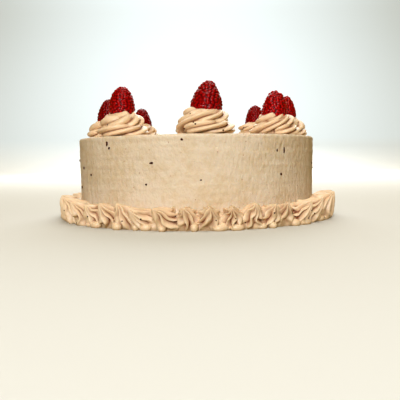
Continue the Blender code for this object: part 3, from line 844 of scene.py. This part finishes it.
def drupelet_places(curve, lean, pitch, bead, draw):
    """Middle and radius of each drupelet, in rows round the berry from its foot to its tip."""
    long = len(curve) - 1
    rows = round(curve_length(curve) / (0.90 * pitch))
    places = []
    for row in range(rows + 1):
        spot = round(long * min(1.0, (row + 0.35) / (rows + 0.35)))
        wide = max(curve[spot, 0] - bead * lean[spot, 0], 0.0)
        level = curve[spot, 1] - bead * lean[spot, 1]
        count = max(1, round(2.0 * math.pi * (wide + 0.5 * bead) / pitch))
        for step in range(count):
            turn = 2.0 * math.pi * (step + 0.5 * row + draw.uniform(-0.30, 0.30)) / count
            rise = level + draw.uniform(-0.24, 0.24) * pitch
            places.append((wide * math.cos(turn), wide * math.sin(turn), rise,
                           bead * draw.uniform(0.90, 1.14)))
    return places


def make_berry(number, settings):
    """A raspberry: rows of round drupelets packed on a blunt cone."""
    draw = np.random.default_rng(BERRY_SEED + number)
    foot, axis = berry_frame(number)
    half = 0.5 * BERRIES[number][1]
    pointed, ripe = BERRIES[number][6:]
    side = np.cross(axis, (0.0, 1.0, 0.0))
    side /= np.linalg.norm(side)
    front = np.cross(axis, side)
    pitch = 2.0 * math.pi * half / settings.drupelets
    bead = 0.60 * pitch
    curve, lean = berry_curve(half, pointed, 400)
    drupelets = drupelet_places(curve, lean, pitch, bead, draw)
    rows, around = 96, 120
    spots = np.round(np.linspace(0.0, 1.0, rows) * (len(curve) - 1)).astype(int)[:-1]
    turn = 2.0 * math.pi * np.arange(around) / around
    ring = np.stack((np.cos(turn), np.sin(turn)), 1)
    # rays from a skin this far inside find the outermost drupelet on their way
    deep = 2.2 * MM
    wide = np.maximum(curve[spots, 0] - deep * lean[spots, 0], 0.02 * MM)
    base = np.concatenate((wide[:, None, None] * ring,
                           np.tile((curve[spots, 1] - deep * lean[spots, 1])[:, None, None],
                                   (1, around, 1))), 2).reshape(-1, 3)
    rays = np.concatenate((lean[spots, 0][:, None, None] * ring,
                           np.tile(lean[spots, 1][:, None, None], (1, around, 1))),
                          2).reshape(-1, 3)
    best = np.full(len(base), deep - 0.34 * bead)
    for x, y, z, radius in drupelets:
        gap = base - (x, y, z)
        along = (gap * rays).sum(1)
        inside = along ** 2 - (gap ** 2).sum(1) + radius ** 2
        hit = inside > 0.0
        best[hit] = np.maximum(best[hit], -along[hit] + np.sqrt(inside[hit]))
    reached = (base + rays * best[:, None]).reshape(-1, around, 3)
    rings = (foot + side * reached[..., :1] + front * reached[..., 1:2]
             + axis * reached[..., 2:3])
    points, faces = skin(rings, foot, foot + axis * BERRY_LENGTH)
    berry = new_piece("fresh_raspberry_%d" % (number + 1), points, faces)
    face_outwards(berry)
    mark_hollows(berry, spread=4)
    mark = berry.data.attributes.new("ripe", "FLOAT", "POINT")
    mark.data.foreach_set("value", np.full(len(points), ripe, np.float32))
    return berry


def surface_spot(piece, centre, angle, height):
    """The outermost point of a piece at an angle and height round an upright axis."""
    places = np.empty(len(piece.data.vertices) * 3)
    piece.data.vertices.foreach_get("co", places)
    places = places.reshape(-1, 3)
    away = places - centre
    out = outward(angle)
    aside = away[:, 0] * out[1] - away[:, 1] * out[0]
    reach = away @ out
    off = np.abs(aside) + np.abs(away[:, 2] - height)
    near = off < max(off[reach > 0.0].min(), 1.2 * MM) + 0.1 * MM
    spot = np.argmax(np.where(near, reach, -1.0))
    return Vector(places[spot]), Vector(out)


def make_cream_crumbs(settings):
    """The crumbs of fruit in the piped cream, all in one piece."""
    draw = np.random.default_rng(CREAM_SEED)
    spots = []
    for number, (angle, ring_radius, _, tall, _) in enumerate(ROSETTES):
        rosette = bpy.data.objects["piped_rosette_%d" % (number + 1)]
        centre = outward(angle) * ring_radius + (0.0, 0.0, CAKE_HEIGHT)
        chosen = [(draw.uniform(-180.0, 180.0), draw.uniform(0.1, 0.7) * tall) for _ in range(4)]
        if number == 0:
            chosen = ROSETTE_CRUMBS
        spots += [surface_spot(rosette, centre, *place) for place in chosen]
    border = bpy.data.objects["piped_star_border"]
    for step in range(settings.stars):
        angle = 360.0 * (step + draw.uniform(0.0, 1.0)) / settings.stars
        spots.append(surface_spot(border, np.zeros(3), angle, draw.uniform(3.0, 16.0) * MM))
    sizes = (draw.uniform(0.9, 1.6) * MM for _ in spots)
    seats = ((place - out * CRUMB_SUNK, out, size, size)
             for (place, out), size in zip(spots, sizes))
    return strew("cream_crumbs", seats, draw)


def crumb(middle, out, width, length, draw):
    """One crumb of dried fruit, a small lumpy chip half sunk in the cream."""
    shape = bmesh.new()
    bmesh.ops.create_icosphere(shape, subdivisions=2, radius=0.5)
    up = Vector(UP)
    side = up.cross(out)
    if side.length < 0.3:
        side = Vector((1.0, 0.0, 0.0)).cross(out)
    side.normalize()
    up = out.cross(side)
    points = []
    for point in shape.verts:
        lump = 1.0 + draw.uniform(-0.22, 0.22)
        points.append(middle + side * (point.co.x * width * lump)
                      + up * (point.co.y * length * lump)
                      + out * (point.co.z * CRUMB_THICK * lump))
    faces = [tuple(corner.index for corner in face.verts) for face in shape.faces]
    shape.free()
    return points, faces


def strew(name, seats, draw):
    """A piece of crumbs; each has its middle, the direction it faces, its width and length."""
    points = []
    faces = []
    for seat in seats:
        more, chips = crumb(*seat, draw)
        faces += [tuple(len(points) + corner for corner in face) for face in chips]
        points += more
    return new_piece(name, [tuple(point) for point in points], faces)


def make_crumbs():
    """The crumbs of fruit in the coat, all in one piece."""
    draw = np.random.default_rng(CRUMB_SEED)
    spots = list(FRONT_FLECKS)
    for step in range(REAR_FLECKS):
        angle = 62.0 + 232.0 * (step + draw.uniform(0.15, 0.85)) / REAR_FLECKS
        size = draw.uniform(1.6, 2.8) * MM
        spots.append((angle, draw.uniform(31.0, 72.0) * MM, size, size * draw.uniform(0.6, 1.6)))
    seats = []
    for angle, height, width, length in spots:
        out = Vector(outward(angle))
        flare = WALL_FLARE * (height - PLAIN_HEIGHT) / (CAKE_HEIGHT - PLAIN_HEIGHT)
        middle = out * (CAKE_RADIUS + flare + CRUMB_RAISE) + Vector(UP) * height
        seats.append((middle, out, width, length))
    for angle, reach in TOP_FLECKS:
        middle = Vector(outward(angle) * reach) + Vector(UP) * CAKE_HEIGHT
        seats.append((middle, Vector(UP), 2.2 * MM, 2.6 * MM))
    return strew("fruit_crumbs", seats, draw)


# Operators


class CAKE_OT_coat(bpy.types.Operator):
    """Spread and scrape the buttercream coat"""

    bl_idname = "cake.coat"
    bl_label = "Coat"

    def execute(self, context):
        settings = context.scene.cake_settings
        finish_piece(make_coat(settings), scraped_buttercream(settings), "coat", "cake")
        return {"FINISHED"}


class CAKE_OT_crumbs(bpy.types.Operator):
    """Strew the crumbs of fruit through the coat"""

    bl_idname = "cake.crumbs"
    bl_label = "Fruit crumbs"

    def execute(self, context):
        settings = context.scene.cake_settings
        finish_piece(make_crumbs(), dried_fruit(settings), "raspberry", "cake")
        return {"FINISHED"}


class CAKE_OT_border(bpy.types.Operator):
    """Pipe the border of stars round the foot"""

    bl_idname = "cake.border"
    bl_label = "Star border"

    def execute(self, context):
        settings = context.scene.cake_settings
        piped = piped_buttercream(settings)
        finish_piece(make_border(settings), piped, "piped_cream", "star_border")
        return {"FINISHED"}


class CAKE_OT_rosettes(bpy.types.Operator):
    """Pipe the rosettes on top"""

    bl_idname = "cake.rosettes"
    bl_label = "Rosettes"

    def execute(self, context):
        settings = context.scene.cake_settings
        piped = piped_buttercream(settings)
        for number in range(len(ROSETTES)):
            finish_piece(make_rosette(number), piped, "piped_cream",
                         "rosette_%d" % (number + 1))
        return {"FINISHED"}


class CAKE_OT_raspberries(bpy.types.Operator):
    """Set a raspberry in each rosette"""

    bl_idname = "cake.raspberries"
    bl_label = "Raspberries"

    def execute(self, context):
        settings = context.scene.cake_settings
        fruit = raspberry_skin(settings)
        for number in range(len(BERRIES)):
            finish_piece(make_berry(number, settings), fruit, "raspberry",
                         "raspberry_%d" % (number + 1))
        return {"FINISHED"}


class CAKE_OT_cream_crumbs(bpy.types.Operator):
    """Strew crumbs of fruit on the piped cream, once it is piped"""

    bl_idname = "cake.cream_crumbs"
    bl_label = "Crumbs in the cream"

    def execute(self, context):
        settings = context.scene.cake_settings
        finish_piece(make_cream_crumbs(settings), dried_fruit(settings), "raspberry")
        return {"FINISHED"}


class CAKE_OT_stage(bpy.types.Operator):
    """Set the paper, the lights and the camera"""

    bl_idname = "cake.stage"
    bl_label = "Stage"

    def execute(self, context):
        settings = context.scene.cake_settings
        paper = new_piece("paper_floor", *paper_sweep())
        paper.data.materials.append(matt_paper(settings))
        paper.data.shade_smooth()
        # the paper throws no light back, so that the room alone warms the shaded sides
        paper.visible_diffuse = False
        for light in LIGHTS:
            area_light(*light)
        set_world(linear(WALLS_SEEN), ROOM_TINT, ROOM_STRENGTH)
        set_camera()
        return {"FINISHED"}


def paper_sweep():
    """A pale floor that bends up far behind into a backdrop."""
    flat = PAPER_BACK - PAPER_BEND
    line = [(PAPER_FRONT, 0.0), (flat, 0.0)]
    for step in range(1, 13):
        turn = 0.5 * math.pi * step / 12
        line.append((flat + PAPER_BEND * math.sin(turn), PAPER_BEND * (1.0 - math.cos(turn))))
    line.append((PAPER_BACK, PAPER_TOP))
    points = [(x, y, z) for y, z in line for x in (-PAPER_SIDE, PAPER_SIDE)]
    faces = [(2 * row, 2 * row + 1, 2 * row + 3, 2 * row + 2) for row in range(len(line) - 1)]
    return points, faces


def area_light(name, place, size, power, tint, target, spread):
    light = bpy.data.lights.new(name, "AREA")
    light.shape = "DISK"
    light.size = size
    light.energy = power
    light.color = tint
    light.spread = math.radians(spread)
    lamp = bpy.data.objects.new(name, light)
    lamp.location = place
    aim = Vector(target) - Vector(place)
    lamp.rotation_euler = aim.to_track_quat("-Z", "Y").to_euler()
    bpy.context.scene.collection.objects.link(lamp)


def set_world(seen, tint, strength):
    """Pale studio walls to look at, and dim warm light from the room."""
    world = bpy.data.worlds.new("studio_air")
    world.use_nodes = True
    tree = world.node_tree
    room = tree.nodes["Background"]
    fill_sockets(room, (("Color", tinted(tint)), ("Strength", strength)))
    walls = add_node(tree, "ShaderNodeBackground", (("Color", tinted(seen)),))
    path = add_node(tree, "ShaderNodeLightPath")
    both = add_node(tree, "ShaderNodeMixShader", (
        (0, path.outputs["Is Camera Ray"]), (1, room.outputs[0]), (2, walls.outputs[0])))
    fill_sockets(tree.nodes["World Output"], (("Surface", both.outputs[0]),))
    bpy.context.scene.world = world


def set_camera():
    lens = bpy.data.cameras.new("photo_camera")
    lens.lens = CAMERA_LENS
    lens.sensor_width = 36.0
    lens.clip_start = 0.01
    camera = bpy.data.objects.new("photo_camera", lens)
    camera.location = CAMERA_AT
    aim = Matrix.Rotation(0.5 * math.pi - CAMERA_DOWN, 4, "X")
    camera.rotation_euler = (aim @ Matrix.Rotation(-CAMERA_ROLL, 4, "Z")).to_euler()
    bpy.context.scene.collection.objects.link(camera)
    bpy.context.scene.camera = camera
    view = bpy.context.scene.view_settings
    view.view_transform = "Standard"
    view.look = "Medium High Contrast"


class CAKE_PT_panel(bpy.types.Panel):
    """The cake's pieces, in the order they are made"""

    bl_idname = "CAKE_PT_panel"
    bl_label = "Raspberry cake"
    bl_space_type = "VIEW_3D"
    bl_region_type = "UI"
    bl_category = "Cake"

    def draw(self, context):
        settings = context.scene.cake_settings
        for name in CakeSettings.__annotations__:
            self.layout.prop(settings, name)
        for step in STEPS:
            self.layout.operator(step.bl_idname)


STEPS = (CAKE_OT_stage, CAKE_OT_coat, CAKE_OT_crumbs, CAKE_OT_border, CAKE_OT_rosettes,
         CAKE_OT_cream_crumbs, CAKE_OT_raspberries)
CLASSES = (CakeSettings, *STEPS, CAKE_PT_panel)


def register():
    for made in CLASSES:
        bpy.utils.register_class(made)
    bpy.types.Scene.cake_settings = bpy.props.PointerProperty(type=CakeSettings)


def unregister():
    del bpy.types.Scene.cake_settings
    for made in reversed(CLASSES):
        bpy.utils.unregister_class(made)


def main():
    register()
    bpy.ops.cake.stage()
    bpy.ops.cake.coat()
    bpy.ops.cake.crumbs()
    bpy.ops.cake.border()
    bpy.ops.cake.rosettes()
    bpy.ops.cake.cream_crumbs()
    bpy.ops.cake.raspberries()


if __name__ == "__main__":
    main()
